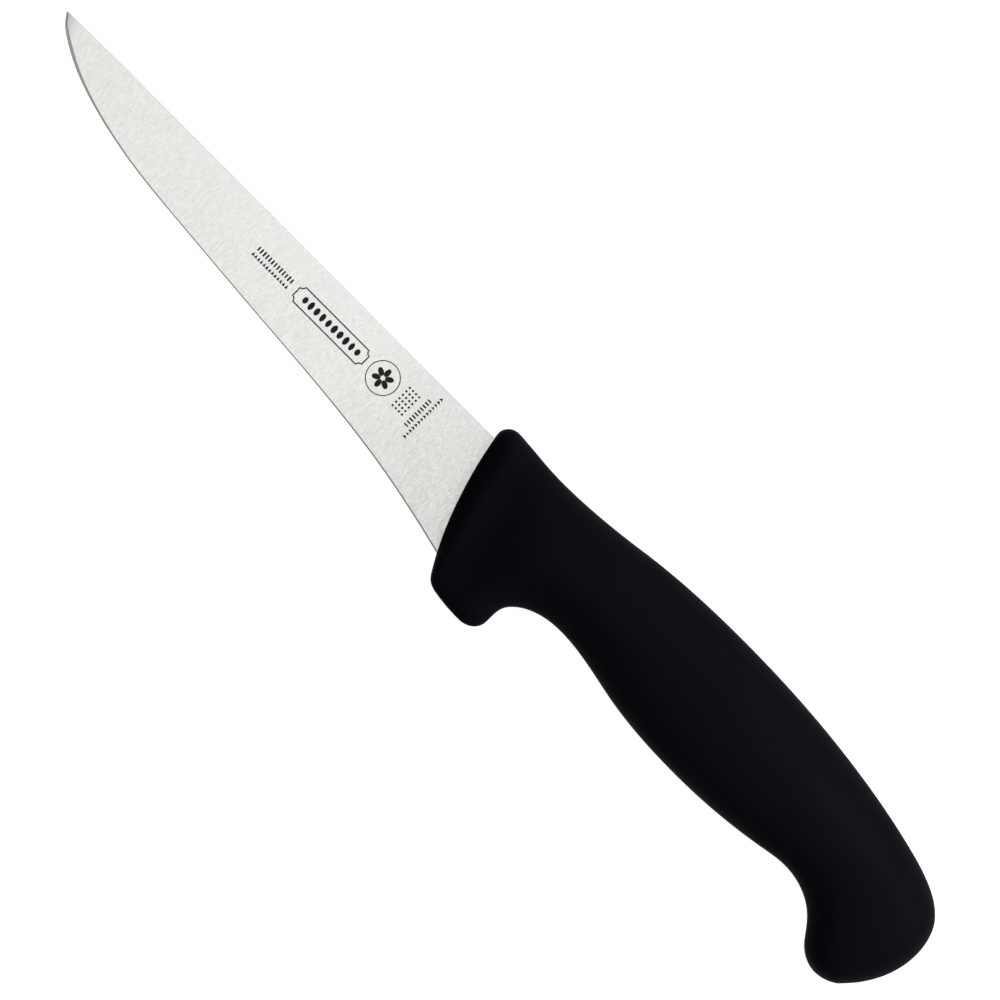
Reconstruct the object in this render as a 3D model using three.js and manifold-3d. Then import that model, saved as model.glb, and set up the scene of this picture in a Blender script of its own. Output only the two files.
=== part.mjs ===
// A boning knife: one ground steel blade whose tang is moulded into a polypropylene handle.
//
// Millimetres. +X runs from the butt to the tip, +Y from the spine to the cutting edge, and +Z out
// of the knife's left side. The knife lies on its right side: the origin is under the middle of its
// length and width, level with the lowest point of the handle.
import * as THREE from "three";
import { mergeVertices } from "three/addons/utils/BufferGeometryUtils.js";
import Module from "manifold-3d";

const wasm = await Module();
wasm.setup();

// ---- Driving dimensions ----

const OVERALL_LENGTH = 260.6;
const TIP_X = OVERALL_LENGTH / 2;
const HANDLE_THICKNESS = 22;

// Steel. The blank is flat; the blade is ground thinner towards its edge and its tip.
const BLANK_THICKNESS = 2;
const TIP_THICKNESS = 0.7;
const SPINE_Y = -12.35;
const BEHIND_EDGE = { heel: 0.2, tip: 0.46 };
const BEVEL_HALF_ANGLE = THREE.MathUtils.degToRad(17);
const MOST_BEVEL = 0.7; // of the blade's height, where it runs out at the tip
const EDGE_FLAT = 0.03;
const TIP_FLAT = 0.1;

// Root and tang: what the handle hides.
const ROOT_BACK_X = -8;
const TANG = { backX: -92, frontHeight: 12, backHeight: 9.5, middleY: -4.8, endRadius: 4 };
const TANG_OVERLAP = 2;
const TANG_HOLE_RADIUS = 2.5;
const TANG_HOLE_XS = [-24, -50, -76];

// The handle's moulding stands this far off the steel, all round it.
const MOULD_GAP = 0.3;

// Cutting edge, from the tip to the back of the root. A knot, here and below, is x, y and the
// heading in degrees with which the line passes it, which may run on past 360.
const EDGE_LINE = [
  [TIP_X, SPINE_Y, 122],
  [128, -9.25, 141],
  [124, -6.65, 150.6],
  [112, -2, 164.8],
  [100, 0.55, 171],
  [85, 2.2, 175.2],
  [60, 4.25, 175.6],
  [40, 5.8, 174.8],
  [20, 8.15, 171],
  [-1.5, 12.6, 166],
  [ROOT_BACK_X, 14.2, 166],
];

// The blade has its sections at these shares of the edge line. They are close together where the
// edge curves, and between the two of FLANK each side is flat.
const CURVED_SECTIONS = 22;
const CURVED_SHARE = 0.7;
const FLANK = [0.757, 0.877];
const ROOT_SHARES = [FLANK[1], 0.9, 0.945, 1];

// Outline of the handle in the blade's plane, anticlockwise, in four sides.
const FRONT_SIDE = [
  [5, -15.95, 40],
  [6.2, -13.9, 86],
  [6.05, -12.4, 99.5],
  [2.3, 2, 109],
  [-3.36, 14.6, 120.5],
  [-4.92, 17.13, 127],
];
const BELLY_SIDE = [
  [-4.92, 17.13, 127],
  [-7.5, 18.55, 169],
  [-15.2, 19.22, 180],
  [-19.48, 15.5, 270],
  [-20.37, 10.37, 232],
  [-24.9, 7.2, 201],
  [-31.7, 6.05, 180],
  [-47, 8.3, 168.5],
  [-68.8, 10.15, 180],
  [-92, 8.15, 190],
  [-98.3, 7.35, 180],
  [-107.5, 10.25, 144],
  [-111.7, 14.95, 126],
  [-118.1, 18.5, 180],
  [-123, 16.9, 214],
];
const BUTT_SIDE = [
  [-123, 16.9, 226],
  [-126.15, 13.3, 234],
  [-TIP_X, 2.2, 267],
  [-129.5, -3.7, 289],
  [-128.15, -6.3, 308],
];
const BACK_SIDE = [
  [-128.15, -6.3, 308],
  [-123.5, -10, 333],
  [-112.2, -13.7, 346.6],
  [-88.5, -17.7, 353.6],
  [-60, -19.2, 360],
  [-32, -17.5, 368.2],
  [-10, -15.72, 360],
  [1.2, -16.45, 356],
  [5, -15.95, 400],
];

// Half the handle's thickness, and how far in from its outline the sides round over, at distances
// behind the front as shares of its length. Between two stations both change smoothly.
const STATIONS = [
  { at: 0, half: 3.8, round: 1.6 },
  { at: 0.3, half: 11.2, round: 13 },
  { at: 0.55, half: 12.2, round: 15 },
  { at: 0.8, half: 10, round: 12.5 },
  { at: 1, half: 10.4, round: 9 },
];

// A soft ridge across each side, just behind the blade, and the shallow cove behind it.
const RIDGE = { from: [1.9, -13.1], to: [-2.9, 8.2], height: 0.5, width: 1.9 };
const COVE = { behind: 6, depth: 0.5, width: 3.6 };

// The guard gets thinner by a share towards its end. This fades out along the handle.
const GUARD_LEAN = { share: 0.4, fromY: -4, toY: 18, fullAt: 0.2, goneAt: 0.5 };

// Fineness of the handle's mesh.
const ROWS_ALONG = 60;
const ROWS_ACROSS = 18;
const OUTLINE_STEPS = 60;
const HOLE_STEPS = 8;

// ---- Curves ----

const { lerp, clamp, smoothstep, degToRad } = THREE.MathUtils;

// A unit step with a heading in degrees.
const headed = (degrees) => new THREE.Vector2(Math.cos(degToRad(degrees)), Math.sin(degToRad(degrees)));

// A smooth curve through knots. Each piece is the Bezier that follows a circle where its two
// headings turn by the same amount from the chord.
function curveThrough(knots) {
  const curve = new THREE.CurvePath();
  for (let i = 1; i < knots.length; i++) {
    const [x0, y0, from] = knots[i - 1];
    const [x1, y1, to] = knots[i];
    const start = new THREE.Vector2(x0, y0);
    const end = new THREE.Vector2(x1, y1);
    const reach = start.distanceTo(end) / (3 * Math.cos(degToRad(to - from) / 4) ** 2);
    const leaving = start.clone().addScaledVector(headed(from), reach);
    const arriving = end.clone().addScaledVector(headed(to), -reach);
    curve.add(new THREE.CubicBezierCurve(start, leaving, arriving, end));
  }
  return curve;
}

// ---- Meshes and solids ----

function geometryOf(points, triangles) {
  const geometry = new THREE.BufferGeometry();
  geometry.setAttribute("position", new THREE.Float32BufferAttribute(points.flat(), 3));
  geometry.setIndex(triangles.flat());
  return geometry;
}

function solidOf(geometry) {
  const bare = geometry.clone();
  bare.deleteAttribute("normal");
  bare.deleteAttribute("uv");
  const merged = mergeVertices(bare, 1e-4);
  const vertProperties = merged.attributes.position.array;
  const triVerts = new Uint32Array(merged.index.array);
  return new wasm.Manifold(new wasm.Mesh({ numProp: 3, vertProperties, triVerts }));
}

function geometryOfSolid(solid) {
  const { vertProperties, triVerts } = solid.getMesh();
  const geometry = new THREE.BufferGeometry();
  geometry.setAttribute("position", new THREE.BufferAttribute(vertProperties, 3));
  geometry.setIndex(new THREE.BufferAttribute(triVerts, 1));
  geometry.computeVertexNormals();
  return geometry;
}

// A flat plate of an outline, centred on the blade's plane.
function plate(shape, thickness) {
  const options = { depth: thickness, bevelEnabled: false, curveSegments: HOLE_STEPS };
  return solidOf(new THREE.ExtrudeGeometry(shape, options).translate(0, 0, -thickness / 2));
}

// Sections that each have the same number of corners, joined into one closed solid.
function loft(sections) {
  const count = sections[0].length;
  const triangles = [];
  for (let i = 0; i + 1 < sections.length; i++) {
    for (let j = 0; j < count; j++) {
      const a = i * count + j;
      const b = i * count + ((j + 1) % count);
      triangles.push([a, b, b + count], [a, b + count, a + count]);
    }
  }
  const last = (sections.length - 1) * count;
  for (let j = 1; j + 1 < count; j++) {
    triangles.push([0, j + 1, j], [last, last + j, last + j + 1]);
  }
  return solidOf(geometryOf(sections.flat(), triangles));
}

// ---- Blade ----

const edgeCurve = curveThrough(EDGE_LINE);

// Steel thickness at the spine, and just behind the edge bevel, at a place along the knife.
const towardsTip = (x) => clamp(x / TIP_X, 0, 1);
const spineThickness = (x) => lerp(BLANK_THICKNESS, TIP_THICKNESS, towardsTip(x));
const edgeThickness = (x) => lerp(BEHIND_EDGE.heel, BEHIND_EDGE.tip, towardsTip(x) ** 2);

// The corners of the blade's section at a point of its edge line: spine, shoulder and edge on the
// left side, then back along the right one. A section that is grown makes room for the blade.
function bladeSection(share, grow) {
  const { x, y } = edgeCurve.getPointAt(share);
  const bevelWidth = edgeThickness(x) / 2 / Math.tan(BEVEL_HALF_ANGLE);
  const steepness = Math.abs(edgeCurve.getTangentAt(share).x);
  const drop = Math.min(bevelWidth / steepness, MOST_BEVEL * (y - SPINE_Y));
  const corners = [
    [SPINE_Y - grow, spineThickness(x) / 2 + grow],
    [y - drop, edgeThickness(x) / 2 + grow],
    [y + grow, EDGE_FLAT / 2 + grow],
  ];
  const left = corners.map(([cornerY, z]) => [x, cornerY, z]);
  const right = corners.map(([cornerY, z]) => [x, cornerY, -z]).reverse();
  return [...left, ...right];
}

const groundSteel = (shares, grow) => loft(shares.map((share) => bladeSection(share, grow)));

function bladeShares() {
  const first = TIP_FLAT / edgeCurve.getLength();
  const shares = [];
  for (let i = 0; i <= CURVED_SECTIONS; i++) {
    shares.push(lerp(first, CURVED_SHARE, (i / CURVED_SECTIONS) ** 1.6));
  }
  return [...shares, FLANK[0], ...ROOT_SHARES];
}

// The tang's outline, larger all round by grow, with its far corners rounded and holes through it
// that the handle's plastic fills.
function tangShape(grow) {
  const front = TANG.frontHeight / 2 + grow;
  const back = TANG.backHeight / 2 + grow;
  const { middleY, endRadius } = TANG;
  const endX = TANG.backX - grow;
  const shape = new THREE.Shape();
  shape.moveTo(ROOT_BACK_X + TANG_OVERLAP, middleY - front);
  shape.lineTo(ROOT_BACK_X + TANG_OVERLAP, middleY + front);
  shape.lineTo(endX + endRadius, middleY + back);
  shape.quadraticCurveTo(endX, middleY + back, endX, middleY + back - endRadius);
  shape.lineTo(endX, middleY - back + endRadius);
  shape.quadraticCurveTo(endX, middleY - back, endX + endRadius, middleY - back);
  shape.closePath();
  for (const x of TANG_HOLE_XS) {
    shape.holes.push(new THREE.Path().absarc(x, middleY, TANG_HOLE_RADIUS - grow, 0, 2 * Math.PI));
  }
  return shape;
}

const tang = (grow) => plate(tangShape(grow), BLANK_THICKNESS + 2 * grow);

function makeBlade() {
  const steel = new THREE.MeshStandardMaterial({ color: 0xe3e2dc, roughness: 0.38, metalness: 1 });
  const solid = groundSteel(bladeShares(), 0).add(tang(0));
  const mesh = new THREE.Mesh(geometryOfSolid(solid), steel);
  mesh.name = "blade";
  return mesh;
}

// ---- Handle ----

const front = curveThrough(FRONT_SIDE);
const belly = curveThrough(BELLY_SIDE);
const butt = curveThrough(BUTT_SIDE);
const back = curveThrough(BACK_SIDE);

// The outline as a ring of short straight pieces.
const outline = [front, belly, butt, back].flatMap((side) =>
  side.getSpacedPoints(OUTLINE_STEPS).slice(0, -1),
);

// How far inside the outline a point is. Near one side this is the plain distance, and in the
// middle it levels out without a crease, because every piece of the outline counts by the inverse
// cube of its distance.
function depthInside(point) {
  let pull = 0;
  outline.forEach((start, i) => {
    const end = outline[(i + 1) % outline.length];
    const along = end.clone().sub(start).normalize();
    const before = start.clone().sub(point).dot(along);
    const after = end.clone().sub(point).dot(along);
    const off = along.cross(point.clone().sub(start)) ** 2;
    const faced = after / Math.sqrt(off + after ** 2) - before / Math.sqrt(off + before ** 2);
    pull += faced / off;
  });
  return Math.sqrt(2 / pull);
}

// Half thickness and rounding at a share of the handle's length. They leave the front at a slope,
// and are level at every other station.
function stationAt(share) {
  const next = Math.max(1, STATIONS.findIndex(({ at }) => at >= share));
  const [a, b] = [STATIONS[next - 1], STATIONS[next]];
  const between = (share - a.at) / (b.at - a.at);
  const eased = next === 1 ? 1 - (1 - between) ** 2 : smoothstep(between, 0, 1);
  return { half: lerp(a.half, b.half, eased), round: lerp(a.round, b.round, eased) };
}

// What the ridge adds to the half thickness at a point, and the cove takes away.
function ridgeAt(point) {
  const from = new THREE.Vector2(...RIDGE.from);
  const along = new THREE.Vector2(...RIDGE.to).sub(from).normalize();
  const behind = along.cross(point.clone().sub(from));
  const ridge = RIDGE.height * Math.exp(-((behind / RIDGE.width) ** 2));
  return ridge - COVE.depth * Math.exp(-(((behind - COVE.behind) / COVE.width) ** 2));
}

function guardLean(point, share) {
  const overGuard = smoothstep(point.y, GUARD_LEAN.fromY, GUARD_LEAN.toY);
  const faded = 1 - smoothstep(share, GUARD_LEAN.fullAt, GUARD_LEAN.goneAt);
  return 1 - GUARD_LEAN.share * overGuard * faded;
}

// Height of the handle's side above the blade's plane, before the thickness is brought to size.
function sideHeight(point, share) {
  const { half, round } = stationAt(share);
  const short = 1 - Math.min(depthInside(point) / round, 1);
  return (half * guardLean(point, share) + ridgeAt(point)) * Math.sqrt(1 - short ** 2);
}

// A point between the handle's four sides, at u from the front to the butt and v from the back to
// the belly.
function pointBetweenSides(u, v) {
  const across = back.getPointAt(1 - u).lerp(belly.getPointAt(u), v);
  const along = front.getPointAt(v).lerp(butt.getPointAt(1 - v), u);
  const atFront = front.getPointAt(0).lerp(front.getPointAt(1), v);
  const atButt = butt.getPointAt(1).lerp(butt.getPointAt(0), v);
  return across.add(along).sub(atFront.lerp(atButt, u));
}

// The handle's outside: a sheet of points over each side, which share the outline between them.
function handleOutside() {
  const spread = (i, count) => (1 - Math.cos((Math.PI * i) / count)) / 2;
  const left = [];
  for (let i = 0; i <= ROWS_ALONG; i++) {
    for (let j = 0; j <= ROWS_ACROSS; j++) {
      const point = pointBetweenSides(spread(i, ROWS_ALONG), spread(j, ROWS_ACROSS));
      const onOutline = i % ROWS_ALONG === 0 || j % ROWS_ACROSS === 0;
      left.push([point.x, point.y, onOutline ? 0 : sideHeight(point, spread(i, ROWS_ALONG))]);
    }
  }
  const thicken = HANDLE_THICKNESS / 2 / Math.max(...left.map(([, , z]) => z));
  const sheets = [thicken, -thicken].flatMap((scale) => left.map(([x, y, z]) => [x, y, z * scale]));
  const triangles = [];
  for (let i = 0; i < ROWS_ALONG; i++) {
    for (let j = 0; j < ROWS_ACROSS; j++) {
      const a = i * (ROWS_ACROSS + 1) + j;
      const [b, c, d] = [a + 1, a + ROWS_ACROSS + 2, a + ROWS_ACROSS + 1];
      const under = left.length;
      triangles.push([a, b, c], [a, c, d]);
      triangles.push([a + under, c + under, b + under], [a + under, d + under, c + under]);
    }
  }
  return solidOf(geometryOf(sheets, triangles));
}

// The hollow that the root of the blade and the tang fill.
function roomForSteel() {
  const rootFront = ROOT_BACK_X + MOULD_GAP;
  const rootBack = ROOT_BACK_X - MOULD_GAP;
  const lowest = SPINE_Y - MOULD_GAP;
  const highest = edgeCurve.getPointAt(1).y + MOULD_GAP;
  const behindRoot = new THREE.Shape()
    .moveTo(rootBack, lowest)
    .lineTo(rootFront, lowest)
    .lineTo(rootFront, highest)
    .lineTo(rootBack, highest);
  return groundSteel(ROOT_SHARES, MOULD_GAP)
    .add(plate(behindRoot, BLANK_THICKNESS + 2 * MOULD_GAP))
    .add(tang(MOULD_GAP));
}

function makeHandle() {
  const plastic = new THREE.MeshStandardMaterial({ color: 0x131217, roughness: 0.55, metalness: 0 });
  const solid = handleOutside().subtract(roomForSteel());
  const mesh = new THREE.Mesh(geometryOfSolid(solid), plastic);
  mesh.name = "handle";
  return mesh;
}

// ---- The knife ----

const knife = new THREE.Group();
knife.add(makeBlade(), makeHandle());
knife.position.z = HANDLE_THICKNESS / 2;

export default knife;
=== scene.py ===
"""A boning knife: a ground and etched steel blade moulded into a black polypropylene handle.

Outlines are written in millimetres, as a maker's drawing gives them, and everything that is made
from them is in metres. +X runs from the butt to the tip, +Y from the spine to the cutting edge, and
+Z out of the knife's left side. The knife lies on its right side on the floor.
"""

import math

import bmesh
import bpy
import numpy as np
from bpy.props import FloatProperty, FloatVectorProperty, IntProperty, PointerProperty
from bpy.types import Operator, Panel, PropertyGroup
from mathutils import Matrix, Vector


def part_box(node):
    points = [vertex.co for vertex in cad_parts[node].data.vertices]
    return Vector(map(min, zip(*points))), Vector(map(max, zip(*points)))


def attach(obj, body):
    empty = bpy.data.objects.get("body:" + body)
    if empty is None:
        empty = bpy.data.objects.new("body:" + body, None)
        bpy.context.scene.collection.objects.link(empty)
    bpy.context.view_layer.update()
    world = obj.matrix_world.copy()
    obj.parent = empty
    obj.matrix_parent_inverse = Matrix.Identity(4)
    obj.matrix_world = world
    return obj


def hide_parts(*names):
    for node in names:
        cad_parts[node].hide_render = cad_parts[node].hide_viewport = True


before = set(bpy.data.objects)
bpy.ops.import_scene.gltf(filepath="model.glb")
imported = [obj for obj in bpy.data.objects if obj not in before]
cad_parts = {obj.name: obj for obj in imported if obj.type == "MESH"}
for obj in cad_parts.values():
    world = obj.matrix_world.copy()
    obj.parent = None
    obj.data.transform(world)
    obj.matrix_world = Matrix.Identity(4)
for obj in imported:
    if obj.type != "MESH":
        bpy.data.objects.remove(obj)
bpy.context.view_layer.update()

bl_info = {
    "name": "Boning knife",
    "version": (1, 0, 0),
    "blender": (4, 5, 0),
    "location": "3D View > Sidebar > Knife",
    "description": "Makes a boning knife with a ground blade and a moulded handle",
    "category": "Object",
}

MM = 0.001
WELD = 0.0001 * MM  # points closer than this are one

BLADE_LOW, BLADE_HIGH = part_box("blade")
HANDLE_LOW, HANDLE_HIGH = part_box("handle")
MID_Z = (BLADE_LOW.z + BLADE_HIGH.z) / 2
TIP_X = 130.3 * MM


# ---- Outlines: x and y in mm, and the heading in degrees with which the line passes ----

# Cutting edge, from the tip to the back of the root inside the handle.
EDGE_KNOTS = (
    (130.3, -12.05, 123),
    (128, -9.25, 141),
    (124, -6.65, 150.6),
    (112, -2, 164.8),
    (100, 0.55, 171),
    (85, 2.2, 175.2),
    (60, 4.25, 175.6),
    (40, 5.8, 174.8),
    (20, 8.15, 171),
    (-1.5, 12.6, 166),
    (-8, 14.2, 166),
)

# The handle's outline, anticlockwise, in four sides.
FRONT_KNOTS = (
    (5, -15.95, 40),
    (6.2, -13.9, 86),
    (6.05, -12.4, 99.5),
    (2.3, 2, 109),
    (-3.36, 14.6, 120.5),
    (-4.92, 17.13, 127),
)
BELLY_KNOTS = (
    (-4.92, 17.13, 127),
    (-7.5, 18.55, 169),
    (-15.2, 19.22, 180),
    (-19.48, 15.5, 270),
    (-20.37, 10.37, 232),
    (-24.9, 7.2, 201),
    (-31.7, 6.05, 180),
    (-47, 8.3, 168.5),
    (-68.8, 10.15, 180),
    (-92, 8.15, 190),
    (-98.3, 7.35, 180),
    (-107.5, 10.25, 144),
    (-111.7, 14.95, 126),
    (-118.1, 18.5, 180),
    (-123, 16.9, 214),
)
BUTT_KNOTS = (
    (-123, 16.9, 226),
    (-126.15, 13.3, 234),
    (-130.3, 2.2, 267),
    (-129.5, -3.7, 289),
    (-128.15, -6.3, 308),
)
BACK_KNOTS = (
    (-128.15, -6.3, 308),
    (-123.5, -10, 333),
    (-112.2, -13.7, 346.6),
    (-88.5, -17.7, 353.6),
    (-60, -19.2, 360),
    (-32, -17.5, 368.2),
    (-10, -15.72, 360),
    (1.2, -16.45, 356),
    (5, -15.95, 400),
)


class Line:
    """A smooth line through knots in the blade's plane, read by shares of its length.

    Each piece is the Bezier that follows a circle where its two headings turn by the same amount
    from the chord.
    """

    PIECE_STEPS = 96

    def __init__(self, knots):
        t = np.linspace(0, 1, self.PIECE_STEPS + 1)[:, None]
        pieces = []
        for (x0, y0, leaving), (x1, y1, arriving) in zip(knots, knots[1:]):
            start, end = np.array([x0, y0]) * MM, np.array([x1, y1]) * MM
            turn = math.radians(arriving - leaving)
            reach = np.linalg.norm(end - start) / (3 * math.cos(turn / 4) ** 2)
            first = start + reach * heading(leaving)
            second = end - reach * heading(arriving)
            piece = (
                (1 - t) ** 3 * start
                + 3 * (1 - t) ** 2 * t * first
                + 3 * (1 - t) * t**2 * second
                + t**3 * end
            )
            pieces.append(piece[1:] if pieces else piece)
        self.points = np.vstack(pieces)
        steps = np.linalg.norm(np.diff(self.points, axis=0), axis=1)
        travelled = np.concatenate([[0], np.cumsum(steps)])
        self.length = travelled[-1]
        self.shares = travelled / self.length

    def at(self, share):
        """Points at shares of the length."""
        return np.stack([np.interp(share, self.shares, self.points[:, i]) for i in (0, 1)], -1)

    def tangent_at(self, share):
        """Unit directions at shares of the length."""
        step = 1e-4
        ahead, behind = np.clip(share + step, 0, 1), np.clip(share - step, 0, 1)
        way = self.at(ahead) - self.at(behind)
        return way / np.linalg.norm(way, axis=-1, keepdims=True)

    def y_at(self, x):
        """The line's y at an x, for a line that runs steadily towards -X."""
        return np.interp(x, self.points[::-1, 0], self.points[::-1, 1])


def heading(degrees):
    """The unit vector that points in a heading."""
    return np.array([math.cos(math.radians(degrees)), math.sin(math.radians(degrees))])


def blended(low, high, share):
    """The value a share of the way from low to high."""
    return low + (high - low) * share


def inwards(loop):
    """The unit vectors that point into an anticlockwise loop, at each of its points."""
    way = np.roll(loop, -1, axis=0) - np.roll(loop, 1, axis=0)
    way /= np.linalg.norm(way, axis=1, keepdims=True)
    return np.column_stack([-way[:, 1], way[:, 0]])


EDGE = Line(EDGE_KNOTS)
FRONT, BELLY, BUTT, BACK = (Line(k) for k in (FRONT_KNOTS, BELLY_KNOTS, BUTT_KNOTS, BACK_KNOTS))


# ---- Settings ----


class BladeSettings(PropertyGroup):
    """Sizes and finish of the steel."""

    spine_thickness: FloatProperty(
        name="Spine thickness",
        description="Thickness of the blank, at the handle",
        default=BLADE_HIGH.z - BLADE_LOW.z,
        unit="LENGTH",
    )
    tip_thickness: FloatProperty(
        name="Tip thickness",
        description="Thickness of the spine at the tip",
        default=0.7 * MM,
        unit="LENGTH",
    )
    bevel_angle: FloatProperty(
        name="Bevel",
        description="Angle of the whetted bevel on each side",
        default=math.radians(17),
        subtype="ANGLE",
    )
    spine_round: FloatProperty(
        name="Spine rounding",
        description="Radius along the two corners of the spine",
        default=0.06 * MM,
        unit="LENGTH",
    )
    colour: FloatVectorProperty(
        name="Steel",
        description="Colour of the ground steel",
        default=(0.83, 0.82, 0.79),
        subtype="COLOR",
    )
    grind_pitch: FloatProperty(
        name="Grinding pitch",
        description="Usual distance between two grinding marks",
        default=0.13 * MM,
        unit="LENGTH",
    )


class HandleSettings(PropertyGroup):
    """Sizes and finish of the handle."""

    thickness: FloatProperty(
        name="Thickness",
        description="Greatest thickness, across the palm swell",
        default=HANDLE_HIGH.z - HANDLE_LOW.z,
        unit="LENGTH",
    )
    rows_along: IntProperty(
        name="Rows along",
        description="Rows of faces from the front to the butt",
        default=330,
    )
    rows_across: IntProperty(
        name="Rows across",
        description="Rows of faces from the back to the belly",
        default=110,
    )
    mouth_gap: FloatProperty(
        name="Mouth gap",
        description="How far the plastic stands off the steel",
        default=0.02 * MM,
        unit="LENGTH",
    )
    bead: FloatProperty(
        name="Parting line",
        description="Radius of the bead where the two halves of the mould met",
        default=0.11 * MM,
        unit="LENGTH",
    )
    colour: FloatVectorProperty(
        name="Plastic",
        description="Colour of the polypropylene",
        default=(0.0026, 0.0025, 0.0040),
        subtype="COLOR",
    )
    grain: FloatProperty(
        name="Grain",
        description="Usual size of the pits of the spark-eroded texture",
        default=0.42 * MM,
        unit="LENGTH",
    )


class MarkSettings(PropertyGroup):
    """Sizes and finish of the etched marks."""

    axis_y: FloatProperty(
        name="Centre line",
        description="Where across the blade the marks are centred",
        default=-4.75 * MM,
        unit="LENGTH",
    )
    line: FloatProperty(
        name="Line width",
        description="Width of the etched outlines",
        default=0.28 * MM,
        unit="LENGTH",
    )
    proud: FloatProperty(
        name="Stands proud",
        description="How far the oxide film stands over the steel",
        default=0.012 * MM,
        unit="LENGTH",
    )
    colour: FloatVectorProperty(
        name="Oxide",
        description="Colour of the etched marks",
        default=(0.005, 0.005, 0.005),
        subtype="COLOR",
    )


class StageSettings(PropertyGroup):
    """Floor, light and camera."""

    floor_size: FloatProperty(
        name="Floor",
        description="Length of the floor's sides",
        default=8.0,
        unit="LENGTH",
    )
    lens: FloatProperty(
        name="Lens",
        description="Focal length of the camera, in millimetres",
        default=180.0,
    )
    view_width: FloatProperty(
        name="Width in view",
        description="How much of the blade's plane the camera sees",
        default=205.5 * MM,
        unit="LENGTH",
    )
    roll: FloatProperty(
        name="Roll",
        description="Turn of the camera about its own axis",
        default=math.radians(225.12),
        subtype="ANGLE",
    )


# ---- Meshes ----


def object_from(name, points, faces, materials=(), slots=None):
    """A smooth-shaded mesh object at the origin, with a material slot for each face if given."""
    mesh = bpy.data.meshes.new(name)
    mesh.from_pydata([tuple(p) for p in points], [], [tuple(f) for f in faces])
    for material in materials:
        mesh.materials.append(material)
    if slots is not None:
        mesh.polygons.foreach_set("material_index", slots)
    mesh.shade_smooth()
    mesh.update()
    piece = bpy.data.objects.new(name, mesh)
    bpy.context.scene.collection.objects.link(piece)
    return piece


def made_plain(piece):
    """Puts the piece's evaluated shape in place of its mesh and modifiers."""
    bpy.context.view_layer.update()
    shape = piece.evaluated_get(bpy.context.evaluated_depsgraph_get())
    mesh = bpy.data.meshes.new_from_object(shape)
    piece.modifiers.clear()
    piece.data = mesh
    mesh.name = piece.name
    return piece


def combined(piece, tool, operation):
    """Joins or cuts the piece with a tool, which is used up."""
    step = piece.modifiers.new(operation.lower(), "BOOLEAN")
    step.operation = operation
    step.solver = "MANIFOLD"
    step.object = tool
    made_plain(piece)
    bpy.data.objects.remove(tool)
    return piece


def without_fins(piece):
    """Makes triangles of all faces, and takes away those that lie back to back on the same corners."""
    shape = bmesh.new()
    shape.from_mesh(piece.data)
    bmesh.ops.remove_doubles(shape, verts=shape.verts, dist=WELD)
    bmesh.ops.triangulate(shape, faces=shape.faces)
    over = {}
    for face in shape.faces:
        over.setdefault(frozenset(face.verts), []).append(face)
    fins = [face for faces in over.values() if len(faces) > 1 for face in faces]
    bmesh.ops.delete(shape, geom=fins, context="FACES")
    shape.to_mesh(piece.data)
    shape.free()
    return piece


def creased(piece, angle):
    """Keeps edges that turn by more than an angle sharp."""
    piece.data.shade_smooth()
    piece.data.set_sharp_from_angle(angle=math.radians(angle))
    return piece


def finished(piece, replaced=()):
    """Declares a piece to the frame."""
    if not len(piece.data.polygons):
        raise RuntimeError(f"{piece.name} came out empty")
    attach(piece, "root")
    if replaced:
        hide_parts(*replaced)


def realised(tree, geometry, material, leave):
    """Ends a node tree: its instances made real, and painted with a material."""
    real = tree.nodes.new("GeometryNodeRealizeInstances")
    paint = tree.nodes.new("GeometryNodeSetMaterial")
    paint.inputs["Material"].default_value = material
    tree.links.new(geometry, real.inputs["Geometry"])
    tree.links.new(real.outputs["Geometry"], paint.inputs["Geometry"])
    tree.links.new(paint.outputs["Geometry"], leave)


def ring_faces(rings, around):
    """Faces that join rings of equally many points into a tube, and cap both its ends."""
    start = np.arange(rings - 1)[:, None] * around
    here = start + np.arange(around)
    beside = start + (np.arange(around) + 1) % around
    sides = np.stack([here, beside, beside + around, here + around], -1).reshape(-1, 4)
    first = list(range(around))[::-1]
    last = [(rings - 1) * around + i for i in range(around)]
    return [list(f) for f in sides] + [first, last]


def prism_from(name, loop, low, high, materials=(), slot=0):
    """A straight-sided solid over an anticlockwise loop of points, all in one material slot."""
    points = [(x, y, low) for x, y in loop] + [(x, y, high) for x, y in loop]
    faces = ring_faces(2, len(loop))
    return object_from(name, points, faces, materials, [slot] * len(faces) if materials else None)


# ---- Material nodes ----


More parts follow.
